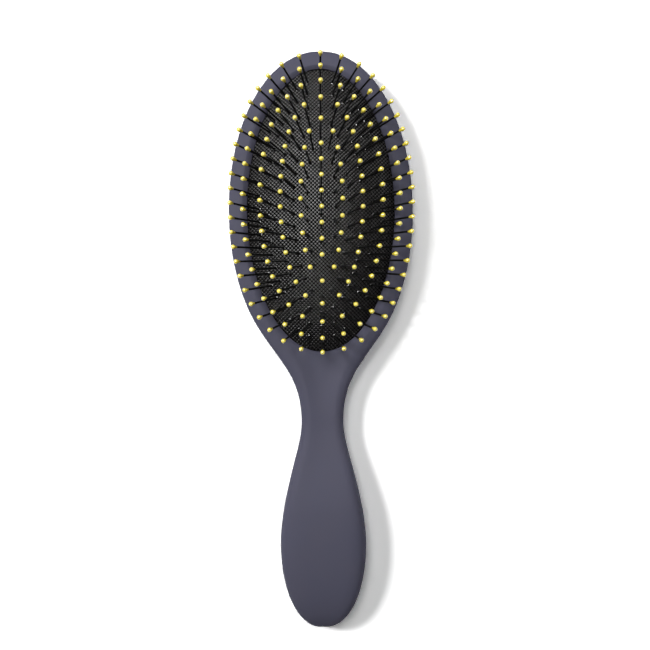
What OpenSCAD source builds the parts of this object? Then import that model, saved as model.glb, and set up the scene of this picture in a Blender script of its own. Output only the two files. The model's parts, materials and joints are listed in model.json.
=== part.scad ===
// Detangling brush: an oval cushion brush with ball-tipped pins, lying on its back.
// The head end points along +Y and the pins stand up along +Z.
// The origin is under the middle of the brush, on the surface that it rests on.

/* [Body outline] */
// Length of the whole brush
brush_l = 220; // [210:1:235]
// Width of the head at its widest
head_w = 70.4; // [68:0.2:76]
// Length of the oval that the head follows
head_l = 122; // [119:1:128]
// Width across the shoulders, half way down to the neck
shoulder_w = 27.6; // [25:0.2:31]
// Distance from the head's oval to the narrowest place of the neck
neck_gap = 19.5; // [16:0.5:24]
// Width of the neck
neck_w = 16; // [14:0.2:19]
// Width of the grip where it swells fastest
grip_w = 23.4; // [21:0.2:26]
// Width of the handle at its widest
handle_w = 32.4; // [28:0.2:36]

/* [Body height] */
// Height of the seam between the two shells
seam_z = 6.5; // [6:0.1:8]
// Rise of the head's front face above the seam
head_rise = 5; // [4.6:0.1:6]
// Rise of the neck's front above the seam
neck_rise = 5.6; // [5:0.1:7]
// Rise of the handle's front above the seam
handle_rise = 9.8; // [7:0.1:11]
// Height of the neck's back above the table
neck_lift = 1.6; // [0.5:0.1:2.5]
// Depth by which the round back is cut flat, where it rests
rest_cut = 0.4; // [0.2:0.1:0.8]
// Wall of the shells
shell_t = 2; // [1.6:0.1:2.4]
// Thickness of the frame's face over the cushion's flange
frame_t = 2.5; // [2.3:0.1:2.8]

/* [Pad opening] */
// Width of the frame all round the pad
frame_w = 7.3; // [6.8:0.1:9]
// Width of the bevel that runs down to the pad
bevel_w = 2.2; // [1.6:0.1:2.6]
// Height of the plain edge under the bevel
lip_h = 0.9; // [0.7:0.1:1.2]
// Gap between the pad and the lip
lip_gap = 0.2; // [0.1:0.05:0.3]

/* [Cushion] */
// Height of the dome above the lip's edge
dome_h = 9.5; // [8:0.1:11]
// Height of the upright side between the flange and the dome
side_h = 0.7; // [0.5:0.1:1]
// Thickness of the rubber
rubber_t = 1.6; // [1.2:0.1:2]
// Width of the flange beyond the pad that shows
flange_w = 3.1; // [2.4:0.1:3.2]
// Thickness of the flange
flange_t = 1.5; // [1.2:0.1:1.8]

/* [Clamp ring] */
// Thickness of the ring that holds the flange up
ring_t = 1.6; // [1.2:0.1:2]
// Width of the ring
ring_w = 3.6; // [3:0.1:4]
// Radius of the posts under the ring
post_r = 1.2; // [1:0.1:1.4]
// Number of posts under the ring
post_count = 10; // [6:2:14]

/* [Pins] */
// Length of a pin from the cushion's face to the middle of its tip
pin_l = 18.6; // [16:0.1:20]
// Radius of a pin's shank
shank_r = 0.35; // [0.3:0.01:0.4]
// Radius of the stem that goes through the rubber
stem_r = 0.52; // [0.48:0.02:0.6]
// Length of the flare from the stem to the shank
flare_l = 1.3; // [1:0.1:2]
// Radius of the nail head behind the rubber
nail_r = 1.1; // [0.9:0.05:1.2]
// Thickness of the nail head
nail_t = 0.5; // [0.4:0.05:0.7]
// Radius of the ball tip
tip_r = 0.82; // [0.74:0.02:0.9]
// Distance that the tip's drop runs down the shank from the ball's middle
tip_tail = 2; // [1.6:0.1:2.4]
// Wall of the drop at its tail
tail_t = 0.07; // [0.05:0.01:0.12]

/* [Pegs] */
// Radius of the pegs that join the handle's halves
peg_r = 1.6; // [1.3:0.1:1.8]
// Depth of a peg in its socket
peg_l = 2.4; // [2:0.1:2.8]
// Wall of a socket
socket_t = 1.4; // [1.2:0.1:1.8]
// Thickness of the rib along the handle
rib_t = 1.6; // [1.2:0.1:2]

/* [Hidden] */

// Clearances
stem_gap = 0.06;
nail_gap = 0.15;
bond_gap = 0.02;
peg_gap = 0.1;
pocket_gap = 0.2;
// Overrun of every cut
over = 1;

// Pins: how many each oval holds, and how wide and long it is as shares of the pad
oval_counts = [48, 42, 36, 30, 20];
oval_w_share = [0.838, 0.717, 0.555, 0.37, 0.187];
oval_l_share = [0.915, 0.828, 0.73, 0.621, 0.487];
middle_count = 8;
middle_pitch = 5.1;
// Share of the dome's slope along the brush that the pins lean by
end_lean_share = 0.77;
// By how much the sideways lean of the pins grows towards the ends of the cushion
end_splay_share = 0.6;

// How round the outline and the cross-sections are: 2 is an ellipse, more is squarer
oval_power = 2.04;
end_power = 2.08;
head_front_power = 6;
neck_front_power = 3.8;
grip_front_power = 5;
handle_front_power = 4;
head_back_power = 2.6;
handle_back_power = 2.3;
cap_front_power = 2.3;
// Where the oval turns into the shoulder, as a share of its half length
turn_share = 0.755;
// Where the shoulder's width is measured, as a share of the way from there to the neck
shoulder_share = 0.405;
// Where the grip, the crest and the handle's widest place are, from the neck to the handle's end
grip_share = 0.236;
crest_share = 0.44;
widest_share = 0.586;
// Slopes of the outline at the shoulder and the grip, as shares of the mean slope
shoulder_slope_share = 1.45;
grip_slope_share = 1.4;
// Where the handle's rib ends, as a share of the handle's round end
rib_end_share = 0.55;
// Where the pegs stand, as shares of the way from the neck to the handle's end
peg_shares = [0.1, 0.38, 0.7];

// Steps along and round the lofted shells
head_steps = 12;
side_steps = 8;
shoulder_steps = 4;
neck_steps = 6;
grip_steps = 5;
handle_steps = 6;
end_steps = 12;
outer_segments = 20;
inner_segments = 12;
oval_steps = 180;
oval_fn = 96;
dome_fn = 160;
round_fn = 24;
small_fn = 16;

// Places along the brush, measured from the head end
oval_d = head_l / 2;
turn_d = oval_d * (1 + turn_share);
neck_d = head_l + neck_gap;
shoulder_d = turn_d + (neck_d - turn_d) * shoulder_share;
grip_d = neck_d + (brush_l - neck_d) * grip_share;
crest_d = neck_d + (brush_l - neck_d) * crest_share;
handle_d = neck_d + (brush_l - neck_d) * widest_share;
rib_from_d = shoulder_d;
rib_to_d = handle_d + (brush_l - handle_d) * rib_end_share;
head_y = brush_l / 2 - oval_d;

// The pad that shows inside the frame
pad_w = head_w - 2 * frame_w;
pad_l = head_l - 2 * frame_w;

// Heights
lip_z = seam_z + head_rise - frame_t;
bevel_z = lip_z + lip_h;
bevel_top_z = seam_z + head_rise + over;
flange_z = lip_z - flange_t;
ring_z = flange_z - ring_t;
dome_z = lip_z + side_h;

// The dome is a piece of a torus: round across the pad, and longer along it
half_pad_w = pad_w / 2;
half_pad_l = pad_l / 2;
across_r = (half_pad_w * half_pad_w + dome_h * dome_h) / (2 * dome_h);
along_r = (half_pad_l * half_pad_l + dome_h * dome_h) / (2 * dome_h);
tube_r = along_r - across_r;

body_colour = [0.34, 0.34, 0.4];
pad_colour = [0.13, 0.13, 0.13];
pin_colour = [0.05, 0.05, 0.05];
ring_colour = [0.2, 0.2, 0.22];
tip_colour = [0.93, 0.84, 0.2];

function mix(a, b, t) = a + (b - a) * t;
function ease(t) = let (u = min(1, max(0, t))) u * u * (3 - 2 * u);
function curve(p0, p1, m0, m1, t) =
  (1 + 2 * t) * pow(1 - t, 2) * p0 + t * pow(1 - t, 2) * m0
  + t * t * (3 - 2 * t) * p1 + t * t * (t - 1) * m1;
function round_off(t, power) = pow(max(0, 1 - pow(min(1, abs(t)), power)), 1 / power);
function signed_pow(v, power) = sign(v) * pow(abs(v), power);

// Half-width of the body at a distance d from the head end
turn_w = head_w / 2 * round_off(turn_share, oval_power);
turn_slope = -head_w / head_l * pow(turn_share, oval_power - 1)
  * pow(1 - pow(turn_share, oval_power), 1 / oval_power - 1);
shoulder_slope = shoulder_slope_share * (neck_w / 2 - turn_w) / (neck_d - turn_d);
grip_slope = grip_slope_share * (handle_w - neck_w) / 2 / (handle_d - neck_d);
function piece(d, d0, w0, s0, d1, w1, s1) =
  curve(w0 / 2, w1 / 2, s0 * (d1 - d0), s1 * (d1 - d0), (d - d0) / (d1 - d0));
function half_w(d) =
  d <= turn_d ? head_w / 2 * round_off(d / oval_d - 1, oval_power)
  : d <= shoulder_d ? piece(d, turn_d, 2 * turn_w, turn_slope, shoulder_d, shoulder_w, shoulder_slope)
  : d <= neck_d ? piece(d, shoulder_d, shoulder_w, shoulder_slope, neck_d, neck_w, 0)
  : d <= grip_d ? piece(d, neck_d, neck_w, 0, grip_d, grip_w, grip_slope)
  : d <= handle_d ? piece(d, grip_d, grip_w, grip_slope, handle_d, handle_w, 0)
  : handle_w / 2 * round_off((d - handle_d) / (brush_l - handle_d), end_power);

// A value that goes from the head's to the neck's to the handle's, which it has from last_d on
function along(d, at_head, at_neck, at_handle, last_d) =
  d <= neck_d ? mix(at_head, at_neck, ease((d - turn_d) / (neck_d - turn_d)))
  : mix(at_neck, at_handle, ease((d - neck_d) / (last_d - neck_d)));
function cap(d, head_power, last_d, end_power) =
  d < oval_d ? round_off(1 - d / oval_d, head_power)
  : d > last_d ? round_off((d - last_d) / (brush_l - last_d), end_power)
  : 1;

// Height of the middle of the front above the seam, and depth of the middle of the back below it
function rise(d, wall_head, wall_handle) =
  along(d, head_rise - wall_head, neck_rise - wall_handle, handle_rise - wall_handle, crest_d)
  * cap(d, head_front_power, crest_d, cap_front_power);
function drop(d, wall) =
  along(d, seam_z + rest_cut - wall, seam_z - neck_lift - wall, seam_z + rest_cut - wall, handle_d)
  * cap(d, head_back_power, handle_d, handle_back_power);
// Depth of the middle of the back's wall below the seam, off the middle line
function depth(x, d) =
  drop(d, shell_t / 2) * round_off(x / (half_w(d) - shell_t / 2), back_power(d));
function front_power(d) =
  d <= grip_d ? along(d, head_front_power, neck_front_power, grip_front_power, grip_d)
  : mix(grip_front_power, handle_front_power, ease((d - grip_d) / (handle_d - grip_d)));
function back_power(d) = along(d, head_back_power, handle_back_power, handle_back_power, handle_d);

stations = concat(
  [for (i = [1:head_steps]) oval_d * (1 - cos(90 * i / head_steps))],
  [for (i = [1:side_steps]) mix(oval_d, turn_d, i / side_steps)],
  [for (i = [1:shoulder_steps]) mix(turn_d, shoulder_d, i / shoulder_steps)],
  [for (i = [1:neck_steps]) mix(shoulder_d, neck_d, i / neck_steps)],
  [for (i = [1:grip_steps]) mix(neck_d, grip_d, i / grip_steps)],
  [for (i = [1:handle_steps]) mix(grip_d, handle_d, i / handle_steps)],
  [for (i = [1:end_steps - 1]) mix(handle_d, brush_l, sin(90 * i / end_steps))]
);

// One cross-section, from the right seam edge over the crown to the left seam edge
function section(w, h, power, y, segments) = [
  for (i = [0:segments])
    let (a = 180 * i / segments)
      [w * signed_pow(cos(a), 2 / power), y, max(0, seam_z + h * pow(abs(sin(a)), 2 / power))]
];
function outer_sections(front) = [
  for (d = stations)
    section(half_w(d), front ? rise(d, 0, 0) : -drop(d, 0),
      front ? front_power(d) : back_power(d), brush_l / 2 - d, outer_segments)
];
function inner_sections(front) = [
  for (d = stations)
    section(half_w(d) - shell_t * min(1, 2 * half_w(d) / neck_w),
      front ? rise(d, frame_t, shell_t) : -drop(d, shell_t),
      front ? front_power(d) : back_power(d),
      (brush_l / 2 - d) * (1 - 2 * shell_t / brush_l), inner_segments)
];
function flat(lists) = [for (l = lists) each l];

// Faces of a skin between two end points, with first the index of the head's end point
function skin(first, rows, segments) =
  let (last = first + 1 + rows * (segments + 1))
  concat(
    [for (j = [0:segments - 1]) [first, first + 1 + j, first + 2 + j]],
    flat([
      for (i = [0:rows - 2], j = [0:segments - 1])
        let (a = first + 1 + i * (segments + 1) + j, b = a + segments + 1)
          [[a, b, b + 1], [a, b + 1, a + 1]]
    ]),
    [for (j = [0:segments - 1]) [last, last - 1 - j, last - 2 - j]]
  );
// The skin's edge, once round from the head's end point
function edge(first, rows, segments) = concat(
  [first],
  [for (i = [0:rows - 1]) first + 1 + i * (segments + 1)],
  [first + 1 + rows * (segments + 1)],
  [for (i = [rows - 1:-1:0]) first + 1 + i * (segments + 1) + segments]
);
function flip(faces) = [for (f = faces) [f[2], f[1], f[0]]];

// One half of the body: a skin outside, a skin inside and the seam face between their edges
module half_body(front) {
  rows = len(stations);
  second = 2 + rows * (outer_segments + 1);
  inner_end = brush_l / 2 - shell_t;
  points = concat(
    [[0, brush_l / 2, seam_z]], flat(outer_sections(front)), [[0, -brush_l / 2, seam_z]],
    [[0, inner_end, seam_z]], flat(inner_sections(front)), [[0, -inner_end, seam_z]]
  );
  rim = edge(0, rows, outer_segments);
  inner_rim = edge(second, rows, inner_segments);
  n = len(rim);
  seam_faces = flat([
    for (k = [0:n - 1])
      let (m = (k + 1) % n)
        [[rim[k], inner_rim[k], inner_rim[m]], [rim[k], inner_rim[m], rim[m]]]
  ]);
  faces = concat(
    skin(0, rows, outer_segments),
    flip(skin(second, rows, inner_segments)),
    seam_faces
  );
  polyhedron(points = points, faces = front ? faces : flip(faces));
}

// An oval that follows the pad, wider all round by grow
module oval(grow) {
  scale([1, (pad_l + 2 * grow) / (pad_w + 2 * grow)])
    circle(d = pad_w + 2 * grow, $fn = oval_fn);
}
module oval_slab(grow, z0, z1) {
  translate([0, head_y, z0]) linear_extrude(z1 - z0) oval(grow);
}

// The rib along the middle of the handle, up or down to half way through the wall
module rib(front) {
  places = [for (d = stations) if (d >= rib_from_d && d <= rib_to_d) d];
  top = [
    for (d = places)
      [brush_l / 2 - d, seam_z + (front ? rise(d, 0, 0) - shell_t / 2 : shell_t / 2 - drop(d, 0))]
  ];
  last = len(places) - 1;
  ends = [[brush_l / 2 - places[last], seam_z], [brush_l / 2 - places[0], seam_z]];
  translate([-rib_t / 2, 0, 0]) rotate([90, 0, 90])
    linear_extrude(rib_t) polygon(concat(top, ends));
}

module at_pegs() {
  for (share = peg_shares) {
    $peg_d = mix(neck_d, brush_l, share);
    translate([0, brush_l / 2 - $peg_d, 0]) children();
  }
}

// Front half: the frame round the pad, the neck and the face of the handle
module front_shell() {
  color(body_colour) difference() {
    union() {
      half_body(true);
      rib(true);
      at_pegs() translate([0, 0, seam_z - peg_l])
        cylinder(h = peg_l + rise($peg_d, 0, 0) - shell_t / 2, r = peg_r, $fn = round_fn);
    }
    hull() {
      oval_slab(lip_gap, bevel_z - over / 10, bevel_z);
      oval_slab(lip_gap + bevel_w * (bevel_top_z - bevel_z) / (bevel_top_z - over - bevel_z),
        bevel_top_z, bevel_top_z + over / 10);
    }
    oval_slab(lip_gap, lip_z - over, bevel_z);
    oval_slab(flange_w + pocket_gap, seam_z - over, lip_z);
  }
}

// Back half: the shell behind the air space and the back of the handle
module back_shell() {
  post_w = flange_w - ring_w / 2;
  color(body_colour) difference() {
    union() {
      half_body(false);
      rib(false);
      at_pegs() translate([0, 0, seam_z - drop($peg_d, 0) + shell_t / 2])
        cylinder(h = drop($peg_d, 0) - shell_t / 2, r = peg_r + peg_gap + socket_t, $fn = round_fn);
      for (i = [0:post_count - 1])
        let (
          a = 360 * (i + 1 / 2) / post_count,
          x = (half_pad_w + post_w) * sin(a),
          y = head_y + (half_pad_l + post_w) * cos(a),
          foot_z = seam_z - depth(x, brush_l / 2 - y)
        )
          translate([x, y, foot_z]) cylinder(h = ring_z - foot_z, r = post_r, $fn = round_fn);
    }
    at_pegs() translate([0, 0, seam_z - peg_l - peg_gap])
      cylinder(h = peg_l + peg_gap + over, r = peg_r + peg_gap, $fn = round_fn);
  }
}

// Ring that clamps the cushion's flange up against the frame's lip
module cushion_ring() {
  color(ring_colour) difference() {
    oval_slab(flange_w, ring_z, flange_z);
    oval_slab(flange_w - ring_w, ring_z - over, flange_z + over);
  }
}

// The dome's solid, drawn in by inset
module dome(inset) {
  translate([0, head_y, dome_z + dome_h - along_r]) rotate([0, 90, 0]) rotate([0, 0, 180])
    rotate_extrude($fn = dome_fn) translate([tube_r, 0]) intersection() {
      circle(r = across_r - inset, $fn = dome_fn);
      translate([0, -across_r]) square([across_r, 2 * across_r]);
    }
}

// Rubber pad: dome, upright side and flange, hollow underneath, with a hole for each pin
module cushion() {
  hole_l = 2 * rubber_t;
  color(pad_colour) difference() {
    union() {
      intersection() {
        dome(0);
        oval_slab(0, lip_z - flange_t / 2, dome_z + dome_h + over);
      }
      oval_slab(flange_w, flange_z, lip_z);
    }
    intersection() {
      dome(rubber_t);
      oval_slab(-rubber_t, flange_z - over, dome_z + dome_h + over);
    }
    oval_slab(-rubber_t, flange_z - over, lip_z - rubber_t / 2);
    for (k = [0:len(oval_counts)]) on_oval(k, 0, pin_count(k) - 1)
      translate([0, 0, -hole_l]) cylinder(h = hole_l + over, r = stem_r + stem_gap, $fn = small_fn);
  }
}

// Equal steps along an oval: the table pairs the distance gone with the angle
function step_l(a, b, i) = norm([
  a * (sin((i + 1) * 360 / oval_steps) - sin(i * 360 / oval_steps)),
  b * (cos((i + 1) * 360 / oval_steps) - cos(i * 360 / oval_steps))
]);
function oval_table(a, b) = [
  for (i = 0, s = 0; i <= oval_steps; s = s + step_l(a, b, i), i = i + 1) [s, i * 360 / oval_steps]
];
function pin_count(k) = k < len(oval_counts) ? oval_counts[k] : middle_count;
function oval_places(k) =
  let (
    a = half_pad_w * oval_w_share[k],
    b = half_pad_l * oval_l_share[k],
    table = oval_table(a, b),
    whole = table[oval_steps][0]
  )
  [
    for (j = [0:oval_counts[k] - 1])
      let (t = lookup(whole * j / oval_counts[k], table)) [a * sin(t), b * cos(t)]
  ];
function pin_places(k) =
  k < len(oval_counts) ? oval_places(k)
  : [for (j = [0:middle_count - 1]) [0, middle_pitch * ((middle_count - 1) / 2 - j)]];

// Height of the dome's face over a place on the pad, and the way a pin points there
function reach(x) = sqrt(across_r * across_r - x * x);
function face_h(p) = sqrt(pow(tube_r + reach(p[0]), 2) - p[1] * p[1]) - (along_r - dome_h);
function pin_aim(p) =
  let (whole = tube_r + reach(p[0]), share = reach(p[0]) / across_r)
  [
    (1 + end_splay_share * pow(p[1] / half_pad_l, 2)) * p[0] / across_r,
    end_lean_share * share * p[1] / whole,
    share * (face_h(p) + along_r - dome_h) / whole
  ];

// Places its children on the cushion's face, at pins first to last of oval k, pointing along each pin
module on_oval(k, first, last) {
  places = pin_places(k);
  for (j = [first:last]) {
    p = places[j];
    v = pin_aim(p);
    translate([p[0], head_y + p[1], dome_z + face_h(p)])
      rotate([0, acos(v[2] / norm(v)), atan2(v[1], v[0])]) children();
  }
}

// A pin: nail head behind the rubber, stem through it, flare and shank up into the tip
module pin() {
  nail_z = -rubber_t - nail_gap;
  translate([0, 0, nail_z - nail_t]) cylinder(h = nail_t, r = nail_r, $fn = round_fn);
  translate([0, 0, nail_z - nail_t / 2]) cylinder(h = nail_t / 2 - nail_z, r = stem_r, $fn = small_fn);
  cylinder(h = flare_l, r1 = stem_r, r2 = shank_r, $fn = small_fn);
  translate([0, 0, flare_l / 2]) cylinder(h = pin_l - flare_l / 2, r = shank_r, $fn = small_fn);
}

// A tip: a ball with a drop-shaped tail that runs down the shank, with a blind bore for it
module tip() {
  tail_r = shank_r + tail_t;
  tail_angle = atan2(tail_r, tip_tail) + acos(tip_r / norm([tail_r, tip_tail]));
  tail_l = tip_tail - tip_r * cos(tail_angle);
  translate([0, 0, pin_l]) difference() {
    union() {
      sphere(r = tip_r, $fn = round_fn);
      translate([0, 0, -tip_tail])
        cylinder(h = tail_l, r1 = tail_r, r2 = tip_r * sin(tail_angle), $fn = round_fn);
    }
    translate([0, 0, -tip_tail - over])
      cylinder(h = tip_tail + over + bond_gap, r = shank_r + bond_gap, $fn = small_fn);
  }
}

module pins(k, first, last) {
  color(pin_colour) on_oval(k, first, last) pin();
}
module tips(k, first, last) {
  color(tip_colour) on_oval(k, first, last) tip();
}
function half(k) = pin_count(k) / 2;

front_shell();
back_shell();
cushion();
cushion_ring();
pins(0, 0, half(0) - 1);  // pins_oval_1_right
pins(0, half(0), pin_count(0) - 1);  // pins_oval_1_left
pins(1, 0, half(1) - 1);  // pins_oval_2_right
pins(1, half(1), pin_count(1) - 1);  // pins_oval_2_left
pins(2, 0, half(2) - 1);  // pins_oval_3_right
pins(2, half(2), pin_count(2) - 1);  // pins_oval_3_left
pins(3, 0, half(3) - 1);  // pins_oval_4_right
pins(3, half(3), pin_count(3) - 1);  // pins_oval_4_left
pins(4, 0, half(4) - 1);  // pins_oval_5_right
pins(4, half(4), pin_count(4) - 1);  // pins_oval_5_left
pins(5, 0, middle_count - 1);  // pins_middle_row
tips(0, 0, half(0) - 1);  // tips_oval_1_right
tips(0, half(0), pin_count(0) - 1);  // tips_oval_1_left
tips(1, 0, half(1) - 1);  // tips_oval_2_right
tips(1, half(1), pin_count(1) - 1);  // tips_oval_2_left
tips(2, 0, half(2) - 1);  // tips_oval_3_right
tips(2, half(2), pin_count(2) - 1);  // tips_oval_3_left
tips(3, 0, half(3) - 1);  // tips_oval_4_right
tips(3, half(3), pin_count(3) - 1);  // tips_oval_4_left
tips(4, 0, half(4) - 1);  // tips_oval_5_right
tips(4, half(4), pin_count(4) - 1);  // tips_oval_5_left
tips(5, 0, middle_count - 1);  // tips_middle_row
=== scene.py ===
"""The looks of an oval detangling brush: matt body, woven rubber pad, black pins and yellow tips.

It is laid out as a Blender add-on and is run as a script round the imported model. The settings give
lengths in millimetres, and all else is in metres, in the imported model's frame: the head's end along
+Y and the pins along +Z.
"""

import json
import math

import bmesh
import bpy
from bpy.props import FloatProperty, FloatVectorProperty, IntProperty, PointerProperty
from mathutils import Matrix, Vector, kdtree


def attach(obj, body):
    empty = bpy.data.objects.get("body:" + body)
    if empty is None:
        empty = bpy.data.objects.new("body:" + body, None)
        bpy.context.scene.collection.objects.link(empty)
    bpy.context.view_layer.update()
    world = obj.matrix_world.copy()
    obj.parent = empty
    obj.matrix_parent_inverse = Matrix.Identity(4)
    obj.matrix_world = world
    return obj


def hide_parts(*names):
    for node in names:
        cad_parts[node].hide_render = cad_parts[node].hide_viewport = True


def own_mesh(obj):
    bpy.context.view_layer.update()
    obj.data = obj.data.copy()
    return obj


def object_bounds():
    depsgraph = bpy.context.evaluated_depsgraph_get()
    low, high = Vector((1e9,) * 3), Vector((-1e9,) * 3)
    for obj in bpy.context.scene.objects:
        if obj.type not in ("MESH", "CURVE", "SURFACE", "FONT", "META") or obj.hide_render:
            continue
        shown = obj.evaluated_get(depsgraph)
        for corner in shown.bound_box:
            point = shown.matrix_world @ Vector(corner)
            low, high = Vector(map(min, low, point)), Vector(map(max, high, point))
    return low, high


bl_info = {
    "name": "Detangling brush",
    "version": (1, 0, 0),
    "blender": (4, 5, 0),
    "location": "3D View > Sidebar > Detangler",
    "description": "Makes the body, woven pad, pins and tips of a detangling brush, and its stage",
    "category": "Object",
}

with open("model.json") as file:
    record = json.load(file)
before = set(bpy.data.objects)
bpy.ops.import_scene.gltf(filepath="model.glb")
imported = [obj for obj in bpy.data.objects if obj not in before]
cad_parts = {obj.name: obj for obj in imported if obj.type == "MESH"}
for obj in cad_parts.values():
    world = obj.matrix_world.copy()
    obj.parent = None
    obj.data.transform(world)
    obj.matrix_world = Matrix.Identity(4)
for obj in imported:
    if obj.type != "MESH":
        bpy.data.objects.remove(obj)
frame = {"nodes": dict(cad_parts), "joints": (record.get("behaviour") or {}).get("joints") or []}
cad_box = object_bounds()

MM = 0.001
MERGE, FINE_MERGE = 1e-6, 1e-7
BODY = "brush"
PRESS = "cushion_press"


def length(name, millimetres, description):
    """A size that a user would change."""
    return FloatProperty(
        name=name, description=description, default=millimetres * MM, min=0, precision=5, unit="LENGTH"
    )


def position(name, millimetres, description):
    """A place along an axis, which may be below nought."""
    return FloatProperty(
        name=name, description=description, default=millimetres * MM, precision=5, unit="LENGTH"
    )


def tilt(name, default, description):
    return FloatProperty(name=name, description=description, default=default, subtype="ANGLE")


def watts(name, default, description):
    return FloatProperty(name=name, description=description, default=default, min=0, unit="POWER")


def share(name, default, description):
    """A size or strength that has no unit."""
    return FloatProperty(name=name, description=description, default=default, min=0)


def number(name, default, description):
    return IntProperty(name=name, description=description, default=default, min=3)


def colour(name, default, description):
    """A colour in linear light."""
    return FloatVectorProperty(
        name=name, description=description, default=default, min=0, max=1, size=3, subtype="COLOR"
    )


class BodySettings(bpy.types.PropertyGroup):
    """Sizes and colour of the two halves of the body."""

    brush_l: length("Length", (cad_box[1].y - cad_box[0].y) / MM, "Length of the whole brush")
    head_w: length("Head width", 70.4, "Width of the head at its widest")
    head_l: length("Head length", 122, "Length of the oval that the head follows")
    shoulder_w: length("Shoulder width", 27.6, "Width half way down from the head to the neck")
    neck_gap: length("Neck gap", 19.5, "Distance from the head's oval to the neck's narrowest place")
    neck_w: length("Neck width", 16, "Width of the neck")
    grip_w: length("Grip width", 23.4, "Width of the grip where it swells fastest")
    handle_w: length("Handle width", 32.4, "Width of the handle at its widest")
    seam_z: length("Seam height", 6.5, "Height of the seam between the halves")
    head_rise: length("Head rise", 5, "Rise of the frame's face above the seam")
    neck_rise: length("Neck rise", 5.6, "Rise of the neck above the seam")
    handle_rise: length("Handle rise", 9.8, "Rise of the handle above the seam")
    neck_lift: length("Neck lift", 1.6, "Height of the neck's back above the table")
    rest_cut: length("Rest cut", 0.4, "Depth by which the round back is cut flat")
    shell_t: length("Wall", 2, "Wall of the halves")
    frame_t: length("Frame wall", 2.5, "Thickness of the frame's face")
    groove: length("Seam groove", 0.26, "Depth of the groove where the halves meet")
    dish: length("Dish", 0.45, "Depth of the shallow dish that runs down the neck")
    dish_foot: length("Dish at the pad", 1.1, "Depth of the dish where it meets the pad")
    plastic: colour("Plastic", (0.075, 0.0752, 0.1135), "Slate plastic")
    plastic_warm: colour("Warm plastic", (0.082, 0.0795, 0.1125), "The plastic where it looks warmer")


class PadSettings(bpy.types.PropertyGroup):
    """Sizes and colours of the pad and of the frame's edge round it."""

    frame_w: length("Frame width", 7.3, "Width of the frame all round the pad")
    lip_gap: length("Lip gap", 0.2, "Gap between the pad and the frame")
    bevel_w: length("Bevel width", 2.3, "Width of the rounded bevel that runs down to the pad")
    bevel_h: length("Bevel height", 1.05, "Height of that bevel")
    bevel_z: length("Bevel foot", 10.1, "Height of the foot of the bevel")
    dome_z: length("Dome foot", 9.7, "Height at which the pad's dome starts")
    dome_h: length("Dome height", 9.5, "Height of the pad's dome")
    rubber_t: length("Rubber", 1.6, "Thickness of the pad's rubber")
    weave_pitch: length("Weave pitch", 1.03, "Distance between the strands of the weave")
    weave_depth: length("Weave depth", 0.18, "Height of the strands that their gloss shows")
    weave_relief: length("Weave relief", 0.065, "Height of the strands in the mesh")
    across: number("Columns", 280, "Columns of faces across the pad")
    along: number("Rows", 530, "Rows of faces along the pad")
    strand: colour("Strand", (0.0045, 0.0045, 0.005), "Face of the weave's strands")
    strand_dusty: colour("Dusty strand", (0.011, 0.0085, 0.007), "The strands where lint has settled")
    # The pit colour is painted shade: the weave's gaps are painted near-black in place of the shade that
    # falls in them.
    pit_shade: colour("Pit", (0.0005, 0.0005, 0.0005), "Bottom of the gaps in the weave")


class PinSettings(bpy.types.PropertyGroup):
    """Sizes and colours of the pins, their collars and their tips."""

    collar_r: length("Collar radius", 0.72, "Radius of the rubber collar round a pin's foot")
    collar_h: length("Collar height", 0.2, "Height of the collar over the pad")
    middle_pitch: length("Middle pitch", 5.1, "Distance between the pins of the middle row")
    collar: colour("Collar", (0.008, 0.008, 0.008), "Smooth black rubber of the collars")
    pin: colour("Pin", (0.003, 0.003, 0.003), "Black nylon of the pins")
    tip: colour("Tip", (0.96, 0.81, 0.07), "Yellow of the ball tips")
    tip_deep: colour("Deep tip", (0.92, 0.74, 0.045), "The same yellow where the paint is thicker")


class StageSettings(bpy.types.PropertyGroup):
    """Camera, lamps and floor."""

    camera_x: position("Camera right", -3.35, "Camera's place across the brush")
    camera_y: position("Camera along", 1.9, "Camera's place along the brush")
    camera_z: position("Camera height", 328, "Camera's height over the table")
    lens: FloatProperty(
        name="Lens",
        description="Focal length on a 36 mm sensor",
        default=46.36,
        subtype="DISTANCE_CAMERA",
    )
    pitch: tilt("Pitch", 0.0105, "Tilt of the camera along the brush")
    yaw: tilt("Yaw", -0.0142, "Tilt of the camera across the brush")
    roll: tilt("Roll", -0.0077, "Turn of the camera about its own axis")
    left_size: length("Left lamp", 200, "Side of the square lamp at the upper left")
    left_power: watts("Left lamp power", 8.2, "Power of the lamp at the upper left")
    top_size: length("Top lamp", 240, "Side of the soft lamp overhead")
    top_power: watts("Top lamp power", 2.1, "Power of the lamp overhead")
    right_size: length("Right lamp", 300, "Side of the weaker lamp at the upper right")
    right_power: watts("Right lamp power", 3.0, "Power of the lamp at the upper right")
    shine_size: length("Shine lamp", 220, "Side of the overhead lamp that only gloss shows")
    shine_power: watts("Shine lamp power", 17.0, "Power of the lamp that only gloss shows")
    fill: share("Fill", 0.03, "Strength of the even light from all round")
    table_r: length("Table", 260, "Radius of the white table")
    floor: colour("Floor", (0.86, 0.86, 0.86), "Floor as it lights the brush")
    floor_shown: share("Floor shown", 1.5, "Brightness of the floor as the camera sees it")


OVAL_COUNTS = (48, 42, 36, 30, 20)
OVAL_W_SHARES = (0.838, 0.717, 0.555, 0.37, 0.187)
OVAL_L_SHARES = (0.915, 0.828, 0.73, 0.621, 0.487)
MIDDLE_COUNT = 8
STRAND_HALF = 0.38


def mix(a, b, t):
    return a + (b - a) * t


def ease(t):
    t = min(1, max(0, t))
    return t * t * (3 - 2 * t)


def curve(a, b, slope_a, slope_b, t):
    """A smooth curve from a to b with the given slopes over the whole step."""
    start = (1 - t) ** 2 * ((1 + 2 * t) * a + t * slope_a)
    end = t * t * ((3 - 2 * t) * b + (t - 1) * slope_b)
    return start + end


def round_off(t, power):
    return max(0, 1 - min(1, abs(t)) ** power) ** (1 / power)


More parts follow.
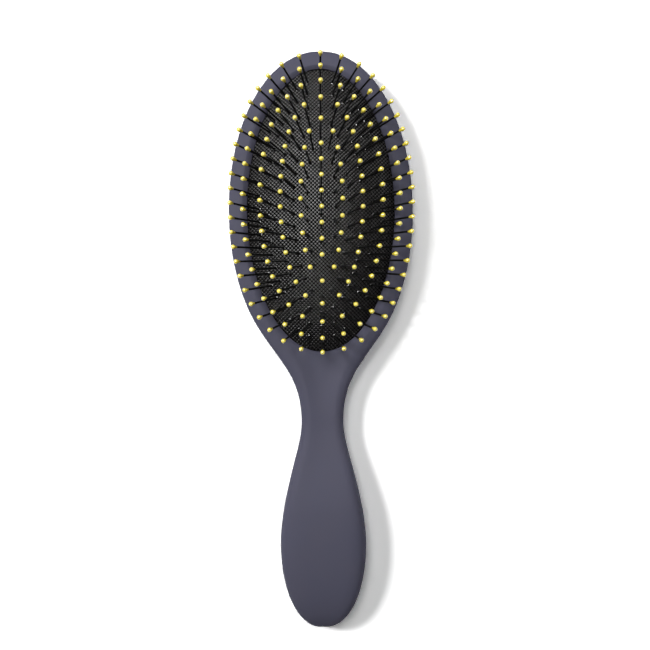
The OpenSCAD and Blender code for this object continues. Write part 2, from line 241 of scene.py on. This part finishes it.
class Form:
    """The body's outline, heights and roundness, as functions of the distance from the head's end."""

    OVAL_POWER, END_POWER, CAP_POWER = 2.04, 2.08, 2.3
    HEAD_POWER, NECK_POWER, GRIP_POWER, HANDLE_POWER = 6, 3.8, 5, 5
    HEAD_BACK_POWER, HANDLE_BACK_POWER = 2.6, 2.3
    TURN_SHARE, SHOULDER_SHARE, GRIP_SHARE, CREST_SHARE, WIDEST_SHARE = 0.755, 0.405, 0.236, 0.44, 0.586
    SHOULDER_SLOPE, GRIP_SLOPE = 1.45, 1.4
    HEAD_CREST, NECK_CREST = 5 * MM, 3.2 * MM
    DISH_LEAD, DISH_FADE, DISH_SLOPE = 8 * MM, 9 * MM, 6 * MM
    REST_SOFT_SHARE = 0.3

    def __init__(self, s):
        self.s = s
        self.oval = s.head_l / 2
        self.turn = self.oval * (1 + self.TURN_SHARE)
        self.neck = s.head_l + s.neck_gap
        self.shoulder = mix(self.turn, self.neck, self.SHOULDER_SHARE)
        self.grip = mix(self.neck, s.brush_l, self.GRIP_SHARE)
        self.crest = mix(self.neck, s.brush_l, self.CREST_SHARE)
        self.handle = mix(self.neck, s.brush_l, self.WIDEST_SHARE)
        p = self.OVAL_POWER
        turn_w = s.head_w / 2 * round_off(self.TURN_SHARE, p)
        turn_slope = -s.head_w / s.head_l
        turn_slope *= self.TURN_SHARE ** (p - 1) * (1 - self.TURN_SHARE**p) ** (1 / p - 1)
        shoulder_slope = self.SHOULDER_SLOPE * (s.neck_w / 2 - turn_w) / (self.neck - self.turn)
        grip_slope = self.GRIP_SLOPE * (s.handle_w - s.neck_w) / 2 / (self.handle - self.neck)
        self.knots = (
            (self.turn, turn_w, turn_slope),
            (self.shoulder, s.shoulder_w / 2, shoulder_slope),
            (self.neck, s.neck_w / 2, 0),
            (self.grip, s.grip_w / 2, grip_slope),
            (self.handle, s.handle_w / 2, 0),
        )

    def half_width(self, d):
        if d <= self.turn:
            return self.s.head_w / 2 * round_off(d / self.oval - 1, self.OVAL_POWER)
        for (d0, w0, s0), (d1, w1, s1) in zip(self.knots, self.knots[1:]):
            if d <= d1:
                step = d1 - d0
                return curve(w0, w1, s0 * step, s1 * step, (d - d0) / step)
        end = (d - self.handle) / (self.s.brush_l - self.handle)
        return self.s.handle_w / 2 * round_off(end, self.END_POWER)

    def inward(self, d):
        """Unit direction into the outline from its right-hand edge, as its parts across and along."""
        step = 0.05 * MM
        slope = (self.half_width(d + step) - self.half_width(d - step)) / (2 * step)
        n = math.hypot(1, slope)
        return 1 / n, slope / n

    def along(self, d, head, neck, handle, last):
        if d <= self.neck:
            return mix(head, neck, ease((d - self.turn) / (self.neck - self.turn)))
        return mix(neck, handle, ease((d - self.neck) / (last - self.neck)))

    def cap(self, d, head_power, last, end_power):
        if d < self.oval:
            return round_off(1 - d / self.oval, head_power)
        if d > last:
            return round_off((d - last) / (self.s.brush_l - last), end_power)
        return 1

    def rise(self, d, head_wall, wall):
        s = self.s
        heights = (s.head_rise - head_wall, s.neck_rise - wall, s.handle_rise - wall)
        full = self.along(d, *heights, self.crest)
        return full * self.cap(d, self.HEAD_POWER, self.crest, self.CAP_POWER)

    def drop(self, d, wall):
        s = self.s
        deep = s.seam_z + s.rest_cut - wall
        full = self.along(d, deep, s.seam_z - s.neck_lift - wall, deep, self.handle)
        return full * self.cap(d, self.HEAD_BACK_POWER, self.handle, self.HANDLE_BACK_POWER)

    def front_power(self, d):
        if d <= self.grip:
            return self.along(d, self.HEAD_POWER, self.NECK_POWER, self.GRIP_POWER, self.grip)
        return mix(self.GRIP_POWER, self.HANDLE_POWER, ease((d - self.grip) / (self.handle - self.grip)))

    def back_power(self, d):
        handle_power = self.HANDLE_BACK_POWER
        return self.along(d, self.HEAD_BACK_POWER, handle_power, handle_power, self.handle)

    def dish(self, d, x, w):
        """How far the dish down the neck lowers the face, between two crests that follow the outline."""
        s = self.s
        depth = mix(s.dish_foot, s.dish, ease((d - s.head_l) / (self.neck - s.head_l)))
        depth *= ease((d - self.turn + self.DISH_LEAD) / self.DISH_FADE)
        depth *= ease((self.handle - d) / (self.handle - self.grip))
        if depth == 0:
            return 0
        lean = self.inward(d)[0]
        crest = mix(self.HEAD_CREST, self.NECK_CREST, ease((d - self.turn) / (self.neck - self.turn)))
        inside = (w - abs(x)) * lean - crest
        reach = min(self.DISH_SLOPE, w * lean - crest)
        return depth * (1 - (1 - min(1, max(0, inside / reach))) ** 2)

    def point(self, u, v, front, walled):
        """Point of the outer or inner skin, with u from seam to seam and v from the handle's end."""
        s = self.s
        d = s.brush_l * (1 - math.cos(math.pi * (1 - v) / 2)) / 2
        wall = s.shell_t if walled else 0
        y = (s.brush_l / 2 - d) * (1 - 2 * wall / s.brush_l)
        w = self.half_width(d)
        w -= wall * min(1, 2 * w / s.neck_w)
        if front:
            height, power = self.rise(d, s.frame_t if walled else 0, wall), self.front_power(d)
        else:
            height, power = -self.drop(d, wall), self.back_power(d)
        angle = math.pi * (1 - u) / 2
        c, q = math.cos(angle), math.sin(angle)
        n = (abs(c) ** power + abs(q) ** power) ** (1 / power)
        x, z = w * c / n, height * q / n
        if not walled:
            depth = s.groove * max(0, 1 - abs(z) / s.groove)
            if front:
                z -= self.dish(d, x, w)
            sideways, lengthways = self.inward(d)
            x -= math.copysign(min(depth * sideways, abs(x)), x)
            y -= depth * lengthways
        z += s.seam_z
        if not front and not walled:
            z = (z + math.hypot(z, self.REST_SOFT_SHARE * s.rest_cut)) / 2
        return Vector((x, y, z))


class Dome:
    """The pad's dome, a piece of a torus, and the places of the pins on it."""

    STEPS = 720

    def __init__(self, body, pad, pins):
        self.a = body.head_w / 2 - pad.frame_w
        self.b = body.head_l / 2 - pad.frame_w
        self.foot, self.h = pad.dome_z, pad.dome_h
        self.centre = body.brush_l / 2 - body.head_l / 2
        self.pitch = pins.middle_pitch
        self.across_r = (self.a**2 + self.h**2) / (2 * self.h)
        self.along_r = (self.b**2 + self.h**2) / (2 * self.h)
        self.tube = self.along_r - self.across_r

    def face(self, x, y, inset=0):
        """Height of the dome at a place that is measured from the pad's middle."""
        reach = math.sqrt(max(0, (self.across_r - inset) ** 2 - x * x))
        return self.foot + self.h - self.along_r + math.sqrt((self.tube + reach) ** 2 - y * y)

    def normal(self, x, y):
        reach = math.sqrt(self.across_r**2 - x * x)
        whole = self.tube + reach
        down = math.sqrt(whole * whole - y * y)
        return Vector((x, reach * y / whole, reach * down / whole)).normalized()

    def point(self, x, y, lift=0):
        return Vector((x, y + self.centre, self.face(x, y))) + self.normal(x, y) * lift

    def pins(self):
        """Places of all the pins, from the pad's middle."""
        for count, w_share, l_share in zip(OVAL_COUNTS, OVAL_W_SHARES, OVAL_L_SHARES):
            a, b = self.a * w_share, self.b * l_share
            turns = [2 * math.pi * i / self.STEPS for i in range(self.STEPS + 1)]
            loop = [Vector((a * math.sin(turn), b * math.cos(turn))) for turn in turns]
            gone = [0]
            for p, q in zip(loop, loop[1:]):
                gone.append(gone[-1] + (q - p).length)
            i = 0
            for j in range(count):
                target = gone[-1] * j / count
                while gone[i + 1] < target:
                    i += 1
                t = (target - gone[i]) / (gone[i + 1] - gone[i])
                yield loop[i].lerp(loop[i + 1], t)
        for j in range(MIDDLE_COUNT):
            yield Vector((0, self.pitch * ((MIDDLE_COUNT - 1) / 2 - j)))


class Wire:
    """A socket of a material's nodes; sums on it add Math nodes."""

    def __init__(self, tree, socket):
        self.tree, self.socket = tree, socket

    def math(self, operation, *values):
        node = self.tree.nodes.new("ShaderNodeMath")
        node.operation = operation
        for place, value in zip(node.inputs, values):
            if isinstance(value, Wire):
                self.tree.links.new(value.socket, place)
            else:
                place.default_value = value
        return Wire(self.tree, node.outputs[0])

    def __add__(self, other):
        return self.math("ADD", self, other)

    def __radd__(self, other):
        return self.math("ADD", other, self)

    def __sub__(self, other):
        return self.math("SUBTRACT", self, other)

    def __rsub__(self, other):
        return self.math("SUBTRACT", other, self)

    def __mul__(self, other):
        return self.math("MULTIPLY", self, other)

    def __rmul__(self, other):
        return self.math("MULTIPLY", other, self)


class Finish:
    """A material, or the world, and the one method that adds nodes to it."""

    def __init__(self, name, owner=None):
        if owner is None:
            owner = bpy.data.materials.new(name)
        self.owner = owner
        owner.use_nodes = True
        self.tree = owner.node_tree
        self.tree.nodes.clear()

    def add(self, kind, settings=None, inputs=None, output=0):
        node = self.tree.nodes.new(kind)
        for key, value in (settings or {}).items():
            if key == "stops":
                ramp = node.color_ramp
                while len(ramp.elements) < len(value):
                    ramp.elements.new(1)
                for element, (place, shade) in zip(ramp.elements, value):
                    element.position, element.color = place, shade
            else:
                setattr(node, key, value)
        for key, value in (inputs or {}).items():
            if isinstance(value, Wire):
                self.tree.links.new(value.socket, node.inputs[key])
            else:
                node.inputs[key].default_value = value
        return Wire(self.tree, node.outputs[output]) if node.outputs else None

    def object_place(self):
        return self.add("ShaderNodeTexCoord", output="Object")

    def noise(self, place, scale, detail=2):
        return self.add("ShaderNodeTexNoise", None, {"Vector": place, "Scale": scale, "Detail": detail})

    def blend(self, factor, first, second):
        """Mixes two colours, which have the sockets 6 and 7 of a Mix node and come out of its 2."""
        colours = {0: factor, 6: first, 7: second}
        return self.add("ShaderNodeMix", {"data_type": "RGBA"}, colours, output=2)

    def bump(self, height, distance, strength=1.0):
        inputs = {"Height": height, "Distance": distance, "Strength": strength}
        return self.add("ShaderNodeBump", None, inputs)

    def surface(self, inputs):
        shader = self.add("ShaderNodeBsdfPrincipled", None, inputs)
        self.add("ShaderNodeOutputMaterial", None, {"Surface": shader})
        return self.owner


def solid(rgb):
    return (*rgb, 1)


def new_piece(name, bm, material, body=BODY):
    """Makes an object of a finished bmesh, and rides it on a body."""
    mesh = bpy.data.meshes.new(name)
    bm.to_mesh(mesh)
    bm.free()
    piece = bpy.data.objects.new(name, mesh)
    bpy.context.scene.collection.objects.link(piece)
    mesh.materials.append(material)
    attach(piece, body)
    return piece


def shade_smooth(bm, angle):
    """Smooth faces, with a hard edge wherever two faces turn by more than the angle."""
    for face in bm.faces:
        face.smooth = True
    for edge in bm.edges:
        edge.smooth = edge.calc_face_angle(0) < angle


def boundary(bm):
    return [edge for edge in bm.edges if edge.is_boundary]


def lay_skin(bm, form, front, walled, across, along):
    """Lays a grid over the body's sections as the outer or inner skin of one half."""
    places = [bm.verts.layers.float.get(n) or bm.verts.layers.float.new(n) for n in ("across", "along")]
    verts = bmesh.ops.create_grid(bm, x_segments=across, y_segments=along, size=1)["verts"]
    for v in verts:
        u, t = v.co.x, v.co.y
        v[places[0]], v[places[1]] = u, t
        v.co = form.point(u, t, front, walled)
    bmesh.ops.remove_doubles(bm, verts=verts, dist=MERGE)
    return places


def body_half(form, front, across, along):
    """A half of the body: outer skin, the seam's flat face, and the inner skin."""
    bm = bmesh.new()
    places = lay_skin(bm, form, front, False, across, along)
    seam = bmesh.ops.extrude_edge_only(bm, edges=boundary(bm))["geom"]
    for v in seam:
        if isinstance(v, bmesh.types.BMVert):
            v.co = form.point(v[places[0]], v[places[1]], front, True)
    lay_skin(bm, form, front, True, across, along)
    bmesh.ops.remove_doubles(bm, verts=bm.verts, dist=MERGE)
    bmesh.ops.recalc_face_normals(bm, faces=bm.faces)
    return bm


def stack_ovals(bm, rings, centre, segments):
    """Stacks ovals, each a half width, a half length and a height, and closes both ends."""
    w, l, z = rings[0]
    made = bmesh.ops.create_circle(bm, cap_ends=False, segments=segments, radius=1)
    for v in made["verts"]:
        v.co = (v.co.x * w, v.co.y * l + centre, z)
    edges = list({e for v in made["verts"] for e in v.link_edges})
    first = edges
    for next_w, next_l, next_z in rings[1:]:
        made = bmesh.ops.extrude_edge_only(bm, edges=edges)["geom"]
        for v in made:
            if isinstance(v, bmesh.types.BMVert):
                v.co = (v.co.x / w * next_w, (v.co.y - centre) / l * next_l + centre, next_z)
        edges = [e for e in made if isinstance(e, bmesh.types.BMEdge) and e.is_boundary]
        w, l = next_w, next_l
    bmesh.ops.edgeloop_fill(bm, edges=first)
    bmesh.ops.edgeloop_fill(bm, edges=edges)
    bmesh.ops.recalc_face_normals(bm, faces=bm.faces)


def slate_plastic(s):
    """Matt moulded plastic with a fine grain and a faint change of tint."""
    m = Finish("slate_plastic")
    place = m.object_place()
    mottle = m.noise(place, scale=90, detail=3)
    grain = m.noise(place, scale=5200)
    tint = m.blend(mottle, solid(s.plastic), solid(s.plastic_warm))
    return m.surface({
        "Base Color": tint,
        "Roughness": 0.6 + mottle * 0.08 + grain * 0.06,
        "Specular IOR Level": 0.08,
        "Normal": m.bump(grain, distance=0.02 * MM, strength=0.5),
    })


BODY_ACROSS, BODY_ALONG = 64, 180


class DETANGLER_OT_front_half(bpy.types.Operator):
    """Front half of the body, with the bevelled opening for the pad"""

    bl_idname = "detangler.front_half"
    bl_label = "Front half"

    BEVEL_STEPS, BEVEL_POWER = 8, 1.7
    LEDGE = 0.12 * MM
    CORNER = 0.04 * MM
    CUTTER_SEGMENTS = 160
    CUTTER_TOP = ((2, 1.6), (2.2, 4))
    HARD_ANGLE = math.radians(48)

    def execute(self, context):
        body, pad = context.scene.detangler_body, context.scene.detangler_pad
        form = Form(body)
        a, b = body.head_w / 2 - pad.frame_w, body.head_l / 2 - pad.frame_w
        centre = body.brush_l / 2 - form.oval
        gap, foot = pad.lip_gap, pad.bevel_z
        steps = [
            (gap, -MM),
            (gap, foot - self.LEDGE),
            (gap + self.CORNER, foot - self.CORNER),
            (gap + self.LEDGE, foot),
        ]
        for k in range(1, self.BEVEL_STEPS + 1):
            t = k / self.BEVEL_STEPS
            rise = 1 - (1 - t) ** self.BEVEL_POWER
            steps.append((gap + self.LEDGE + t * pad.bevel_w, foot + rise * pad.bevel_h))
        for out, up in self.CUTTER_TOP:
            steps.append((gap + out * pad.bevel_w, foot + up * pad.bevel_h))
        cutter_bm = bmesh.new()
        stack_ovals(cutter_bm, [(a + g, b + g, z) for g, z in steps], centre, self.CUTTER_SEGMENTS)
        cutter_mesh = bpy.data.meshes.new("opening")
        cutter_bm.to_mesh(cutter_mesh)
        cutter_bm.free()
        cutter = bpy.data.objects.new("opening", cutter_mesh)
        context.scene.collection.objects.link(cutter)

        mesh = bpy.data.meshes.new("front_half_whole")
        bm = body_half(form, True, BODY_ACROSS, BODY_ALONG)
        bm.to_mesh(mesh)
        bm.free()
        whole = bpy.data.objects.new("front_half_whole", mesh)
        context.scene.collection.objects.link(whole)
        cut = whole.modifiers.new("Opening", "BOOLEAN")
        cut.operation, cut.solver, cut.object = "DIFFERENCE", "EXACT", cutter
        graph = context.evaluated_depsgraph_get()
        bm = bmesh.new()
        bm.from_object(whole, graph)
        bmesh.ops.remove_doubles(bm, verts=bm.verts, dist=FINE_MERGE)
        for thing in (whole, cutter):
            data = thing.data
            bpy.data.objects.remove(thing)
            bpy.data.meshes.remove(data)
        if len(bm.faces) < BODY_ALONG:
            raise RuntimeError("the opening wasn't cut")
        shade_smooth(bm, self.HARD_ANGLE)
        piece = new_piece("front_half", bm, slate_plastic(body))
        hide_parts("front_shell")
        return {"FINISHED"}


class DETANGLER_OT_back_half(bpy.types.Operator):
    """Back half of the body"""

    bl_idname = "detangler.back_half"
    bl_label = "Back half"

    HARD_ANGLE = math.radians(40)

    def execute(self, context):
        body = context.scene.detangler_body
        bm = body_half(Form(body), False, BODY_ACROSS, BODY_ALONG)
        shade_smooth(bm, self.HARD_ANGLE)
        piece = new_piece("back_half", bm, slate_plastic(body))
        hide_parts("back_shell")
        return {"FINISHED"}


def strand_height(across):
    """Height of one set of strands, round in section, from its place counted in strands."""
    off = (across - across.math("ROUND", across)) * (1 / STRAND_HALF)
    return off.math("SQRT", off.math("MAXIMUM", 1 - off * off, 0))


def woven_rubber(pad, centre):
    """Black woven face: strands with a soft shine, over gaps painted near-black and without gloss as
    painted shade in the weave's hollows.
    """
    m = Finish("woven_rubber")
    place = m.object_place()
    k = 1 / (math.sqrt(2) * pad.weave_pitch)
    dot = {"operation": "DOT_PRODUCT"}
    run, across = (
        m.add("ShaderNodeVectorMath", dot, {0: place, 1: (k, side * k, 0)}, "Value") - side * k * centre
        for side in (1, -1)
    )
    height = (strand_height(run) + strand_height(across)) * 0.5
    dust = m.noise(place, scale=900, detail=3)
    raised = m.add("ShaderNodeMapRange", {"interpolation_type": "SMOOTHSTEP"},
                   {"Value": height, "From Min": 0.42, "From Max": 0.72})
    strand = m.add("ShaderNodeBsdfPrincipled", None, {
        "Base Color": m.blend(dust, solid(pad.strand), solid(pad.strand_dusty)),
        "Roughness": 0.27 + dust * 0.06,
        "Specular IOR Level": 0.46,
        "Normal": m.bump(height, pad.weave_depth),
    })
    # The gaps between the strands carry painted shade: a near-black colour with no gloss, so that they
    # read as shaded hollows.
    gap = m.add("ShaderNodeBsdfPrincipled", None, {
        "Base Color": solid(pad.pit_shade), "Roughness": 1, "Specular IOR Level": 0,
    })
    face = m.add("ShaderNodeMixShader", None, {0: raised, 1: gap, 2: strand})
    m.add("ShaderNodeOutputMaterial", None, {"Surface": face})
    return m.owner


def weave_height(x, y, pitch):
    """Height of the weave along both diagonals, from 0 in a gap to 1 where two strands cross."""
    turn = math.sqrt(2) * math.pi / pitch
    return (2 + math.cos(turn * (x + y)) + math.cos(turn * (x - y))) / 4


class DETANGLER_OT_pad(bpy.types.Operator):
    """Domed rubber pad with a woven face"""

    bl_idname = "detangler.pad"
    bl_label = "Pad"

    RIM_DEPTH = 1.2 * MM
    INNER_ACROSS = 10
    FLAT_HEIGHT = 0.35
    FLAT_FROM, FLAT_FADE = 0.95, 0.4
    HARD_ANGLE = math.radians(75)

    def execute(self, context):
        body, pad, pins = (getattr(context.scene, "detangler_" + n) for n in ("body", "pad", "pins"))
        dome = Dome(body, pad, pins)
        feet = kdtree.KDTree(sum(OVAL_COUNTS) + MIDDLE_COUNT)
        for i, p in enumerate(dome.pins()):
            feet.insert((p.x, p.y, 0), i)
        feet.balance()

        bm = bmesh.new()
        made = bmesh.ops.create_grid(bm, x_segments=pad.across, y_segments=pad.along, size=1)
        for v in made["verts"]:
            y = v.co.y * dome.b
            x = v.co.x * dome.a * math.sqrt(max(0, 1 - v.co.y**2))
            height = weave_height(x, y, pad.weave_pitch)
            near = feet.find((x, y, 0))[2] / pins.collar_r
            height = mix(self.FLAT_HEIGHT, height, ease((near - self.FLAT_FROM) / self.FLAT_FADE))
            v.co = dome.point(x, y, (height - 0.5) * pad.weave_relief)
        bmesh.ops.remove_doubles(bm, verts=made["verts"], dist=FINE_MERGE)
        rim_z = pad.dome_z - self.RIM_DEPTH
        rim = bmesh.ops.extrude_edge_only(bm, edges=boundary(bm))["geom"]
        for v in rim:
            if isinstance(v, bmesh.types.BMVert):
                v.co.z = rim_z
        made = bmesh.ops.create_grid(bm, x_segments=self.INNER_ACROSS, y_segments=pad.along, size=1)
        inner_a, inner_b = dome.a - pad.rubber_t, dome.b - pad.rubber_t
        for v in made["verts"]:
            y = v.co.y * inner_b
            x = v.co.x * inner_a * math.sqrt(max(0, 1 - v.co.y**2))
            z = max(rim_z, dome.face(x, y, pad.rubber_t))
            v.co = (x, y + dome.centre, z)
        bmesh.ops.remove_doubles(bm, verts=made["verts"], dist=FINE_MERGE)
        bmesh.ops.bridge_loops(bm, edges=boundary(bm))
        bmesh.ops.recalc_face_normals(bm, faces=bm.faces)
        shade_smooth(bm, self.HARD_ANGLE)
        piece = new_piece("pad", bm, woven_rubber(pad, dome.centre))
        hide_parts("cushion")
        sink(piece, dome)
        return {"FINISHED"}


def sink(piece, dome):
    """Gives a piece of the pad a mesh of its own, and works out from the press joint how much of the
    dome's height stays as the middle row is pressed down; that share is not applied.
    """
    joint = next(j for j in frame["joints"] if j["name"] == PRESS)
    middle = list(dome.pins())[-MIDDLE_COUNT:]
    mean = sum(dome.face(p.x, p.y) for p in middle) / MIDDLE_COUNT - dome.foot
    keep = 1 - joint["range_m"][1] / mean
    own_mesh(piece)


def glossy_rubber(pins):
    """Smooth black rubber of the collars."""
    m = Finish("glossy_rubber")
    grain = m.noise(m.object_place(), scale=3000)
    return m.surface({"Base Color": solid(pins.collar), "Roughness": 0.14 + grain * 0.1})


class DETANGLER_OT_collars(bpy.types.Operator):
    """Small glossy collar in the pad round the foot of each pin"""

    bl_idname = "detangler.collars"
    bl_label = "Collars"

    SEGMENTS, RINGS = 10, 4
    HARD_ANGLE = math.radians(80)

    def execute(self, context):
        body, pad, pins = (getattr(context.scene, "detangler_" + n) for n in ("body", "pad", "pins"))
        dome = Dome(body, pad, pins)
        bm = bmesh.new()
        size = (pins.collar_r, pins.collar_r, pins.collar_h)
        for p in dome.pins():
            turn = dome.normal(p.x, p.y).to_track_quat("Z", "Y")
            seat = Matrix.LocRotScale(dome.point(p.x, p.y), turn, size)
            bmesh.ops.create_uvsphere(
                bm, u_segments=self.SEGMENTS, v_segments=self.RINGS, radius=1, matrix=seat
            )
        bmesh.ops.recalc_face_normals(bm, faces=bm.faces)
        shade_smooth(bm, self.HARD_ANGLE)
        piece = new_piece("pin_collars", bm, glossy_rubber(pins))
        sink(piece, dome)
        return {"FINISHED"}


def black_nylon(pins):
    """Black nylon of the pins."""
    m = Finish("black_nylon")
    grain = m.noise(m.object_place(), scale=2500)
    return m.surface({
        "Base Color": solid(pins.pin),
        "Roughness": 0.5 + grain * 0.1,
        "Specular IOR Level": 0.1,
    })


class DETANGLER_OT_pins(bpy.types.Operator):
    """Finish of the pins and of the ring that clamps the pad"""

    bl_idname = "detangler.pins"
    bl_label = "Pins"

    def execute(self, context):
        nylon = black_nylon(context.scene.detangler_pins)
        for name, node in frame["nodes"].items():
            if name.startswith("pins_") or name == "cushion_ring":
                dress(node, nylon)
        return {"FINISHED"}


def yellow_drop(pins):
    """Glossy yellow paint, deeper in places."""
    m = Finish("yellow_drop")
    tint = m.noise(m.object_place(), scale=400)
    shade = m.blend(tint, solid(pins.tip), solid(pins.tip_deep))
    return m.surface({
        "Base Color": shade,
        "Roughness": 0.38 + tint * 0.08,
        "Specular IOR Level": 0.6,
        "Coat Weight": 1,
        "Coat Roughness": 0.2,
        "Coat IOR": 1.7,
    })


class DETANGLER_OT_tips(bpy.types.Operator):
    """Finish of the ball tips"""

    bl_idname = "detangler.tips"
    bl_label = "Tips"

    def execute(self, context):
        drop = yellow_drop(context.scene.detangler_pins)
        for name, node in frame["nodes"].items():
            if name.startswith("tips_"):
                dress(node, drop)
        return {"FINISHED"}


def dress(node, material):
    """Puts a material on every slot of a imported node."""
    for place in node.material_slots:
        place.link = "OBJECT"
        place.material = material
    if not node.material_slots:
        raise RuntimeError(f"{node.name} has no material slot")


def shown_ray(m, off_gloss=1):
    """1 for a ray from the camera, and off_gloss for one off gloss or through something clear."""
    rays = ("Is Camera Ray", "Is Glossy Ray", "Is Transmission Ray")
    camera, glossy, clear = (m.add("ShaderNodeLightPath", output=ray) for ray in rays)
    return camera.math("MAXIMUM", camera, camera.math("MAXIMUM", glossy, clear) * off_gloss)


class DETANGLER_OT_stage(bpy.types.Operator):
    """White table, soft lamps at the upper left, overhead and at the upper right, and the camera"""

    bl_idname = "detangler.stage"
    bl_label = "Stage"

    TABLE_SEGMENTS = 96
    LAMPS = {
        "left": (-0.63, 0.29, 0.72),
        "top": (-0.16, 0.3, 0.91),
        "right": (0.62, 0.55, 0.56),
        "shine": (-0.17, 0.28, 0.94),
    }
    HORIZON_END, HORIZON_START = 0.32, 0.03

    def execute(self, context):
        scene, s = context.scene, context.scene.detangler_stage
        bm = bmesh.new()
        bmesh.ops.create_circle(bm, cap_ends=True, segments=self.TABLE_SEGMENTS, radius=s.table_r)
        bmesh.ops.recalc_face_normals(bm, faces=bm.faces)
        mesh = bpy.data.meshes.new("table")
        bm.to_mesh(mesh)
        bm.free()
        table = bpy.data.objects.new("table", mesh)
        scene.collection.objects.link(table)
        m = Finish("table")
        shade = m.blend(shown_ray(m), solid(s.floor), solid([s.floor_shown] * 3))
        diffuse = m.add("ShaderNodeBsdfDiffuse", None, {"Color": shade})
        m.add("ShaderNodeOutputMaterial", None, {"Surface": diffuse})
        mesh.materials.append(m.owner)

        for name, spot in self.LAMPS.items():
            lamp = bpy.data.lights.new("lamp_" + name, "AREA")
            lamp.shape = "SQUARE"
            lamp.size = getattr(s, name + "_size")
            lamp.energy = getattr(s, name + "_power")
            holder = bpy.data.objects.new("lamp_" + name, lamp)
            holder.location = spot
            holder.rotation_euler = (-Vector(spot)).to_track_quat("-Z", "Y").to_euler()
            holder.visible_diffuse = name != "shine"
            scene.collection.objects.link(holder)

        world = bpy.data.worlds.new("room")
        scene.world = world
        w = Finish("room", world)
        place = w.add("ShaderNodeTexCoord", output="Generated")
        height = w.add("ShaderNodeSeparateXYZ", None, {"Vector": place}, output="Z")
        low = w.add("ShaderNodeMapRange", {"interpolation_type": "SMOOTHSTEP"}, {
            "Value": height,
            "From Min": self.HORIZON_START,
            "From Max": self.HORIZON_END,
            "To Min": 1.0,
            "To Max": 0.0,
        })
        strength = s.fill + shown_ray(w, low) * (1 - s.fill)
        background = w.add("ShaderNodeBackground", None, {"Color": (1, 1, 1, 1), "Strength": strength})
        w.add("ShaderNodeOutputWorld", None, {"Surface": background})

        camera = bpy.data.objects.new("camera", bpy.data.cameras.new("camera"))
        camera.data.lens = s.lens
        camera.location = (s.camera_x, s.camera_y, s.camera_z)
        camera.rotation_euler = (s.pitch, s.yaw, s.roll)
        scene.collection.objects.link(camera)
        scene.camera = camera
        scene.view_settings.view_transform = "Standard"
        return {"FINISHED"}


class DETANGLER_PT_panel(bpy.types.Panel):
    """Lists the brush's pieces and their settings"""

    bl_label = "Detangling brush"
    bl_idname = "DETANGLER_PT_panel"
    bl_space_type = "VIEW_3D"
    bl_region_type = "UI"
    bl_category = "Detangler"

    def draw(self, context):
        for group in GROUPS:
            box = self.layout.box()
            settings = getattr(context.scene, group)
            for key in settings.__annotations__:
                box.prop(settings, key)
        for operator in OPERATORS:
            self.layout.operator(operator.bl_idname)


GROUPS = {
    "detangler_body": BodySettings,
    "detangler_pad": PadSettings,
    "detangler_pins": PinSettings,
    "detangler_stage": StageSettings,
}
OPERATORS = (
    DETANGLER_OT_stage,
    DETANGLER_OT_front_half,
    DETANGLER_OT_back_half,
    DETANGLER_OT_pad,
    DETANGLER_OT_collars,
    DETANGLER_OT_pins,
    DETANGLER_OT_tips,
)


def register():
    for group, kind in GROUPS.items():
        bpy.utils.register_class(kind)
        setattr(bpy.types.Scene, group, PointerProperty(type=kind))
    for kind in (*OPERATORS, DETANGLER_PT_panel):
        bpy.utils.register_class(kind)


def unregister():
    for kind in (DETANGLER_PT_panel, *reversed(OPERATORS)):
        bpy.utils.unregister_class(kind)
    for group, kind in GROUPS.items():
        delattr(bpy.types.Scene, group)
        bpy.utils.unregister_class(kind)


def main():
    register()
    for operator in OPERATORS:
        module, name = operator.bl_idname.split(".")
        getattr(getattr(bpy.ops, module), name)()


if __name__ == "__main__":
    main()
